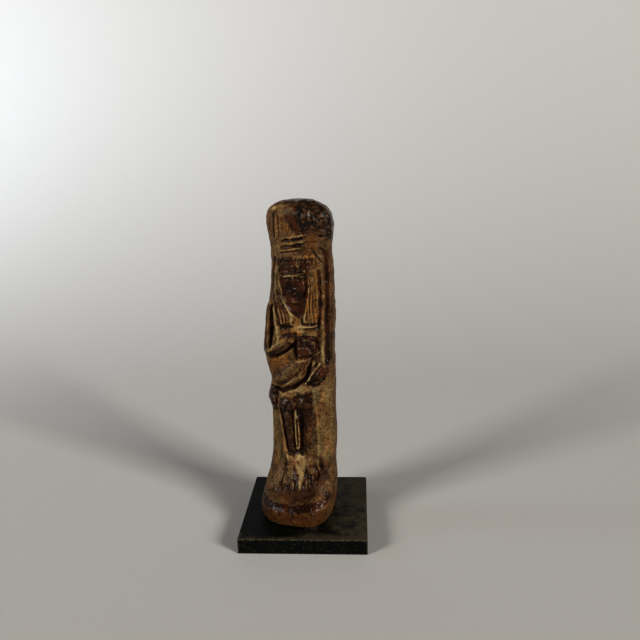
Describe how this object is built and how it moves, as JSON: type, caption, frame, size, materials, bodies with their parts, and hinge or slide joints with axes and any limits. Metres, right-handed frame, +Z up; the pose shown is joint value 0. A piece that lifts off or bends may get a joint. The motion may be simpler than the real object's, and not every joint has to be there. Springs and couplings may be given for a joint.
{
  "type": "nursing mother and child figure on a display plate",
  "caption": "Small carved stone figure of a seated mother nursing her child, in worn brown glaze, standing on a thin square black plate.",
  "frame": {"origin": "centre of the plate's underside, which is what the part stands on", "axes": "+Z up, along the figure's height; -Y is the plate's front side, which the figure faces, turned 8 degrees to its right; +X is to the viewer's right"},
  "size_m": [0.0382, 0.0382, 0.1009],
  "materials": {
    "glazed_stone": "carved soapstone with a worn brown glaze, satin with glossy patches",
    "black_paint": "black painted steel plate, semi-gloss"
  },
  "bodies": {
    "root": {"figure": "glazed_stone", "display_base": "black_paint"}
  },
  "joints": []
}
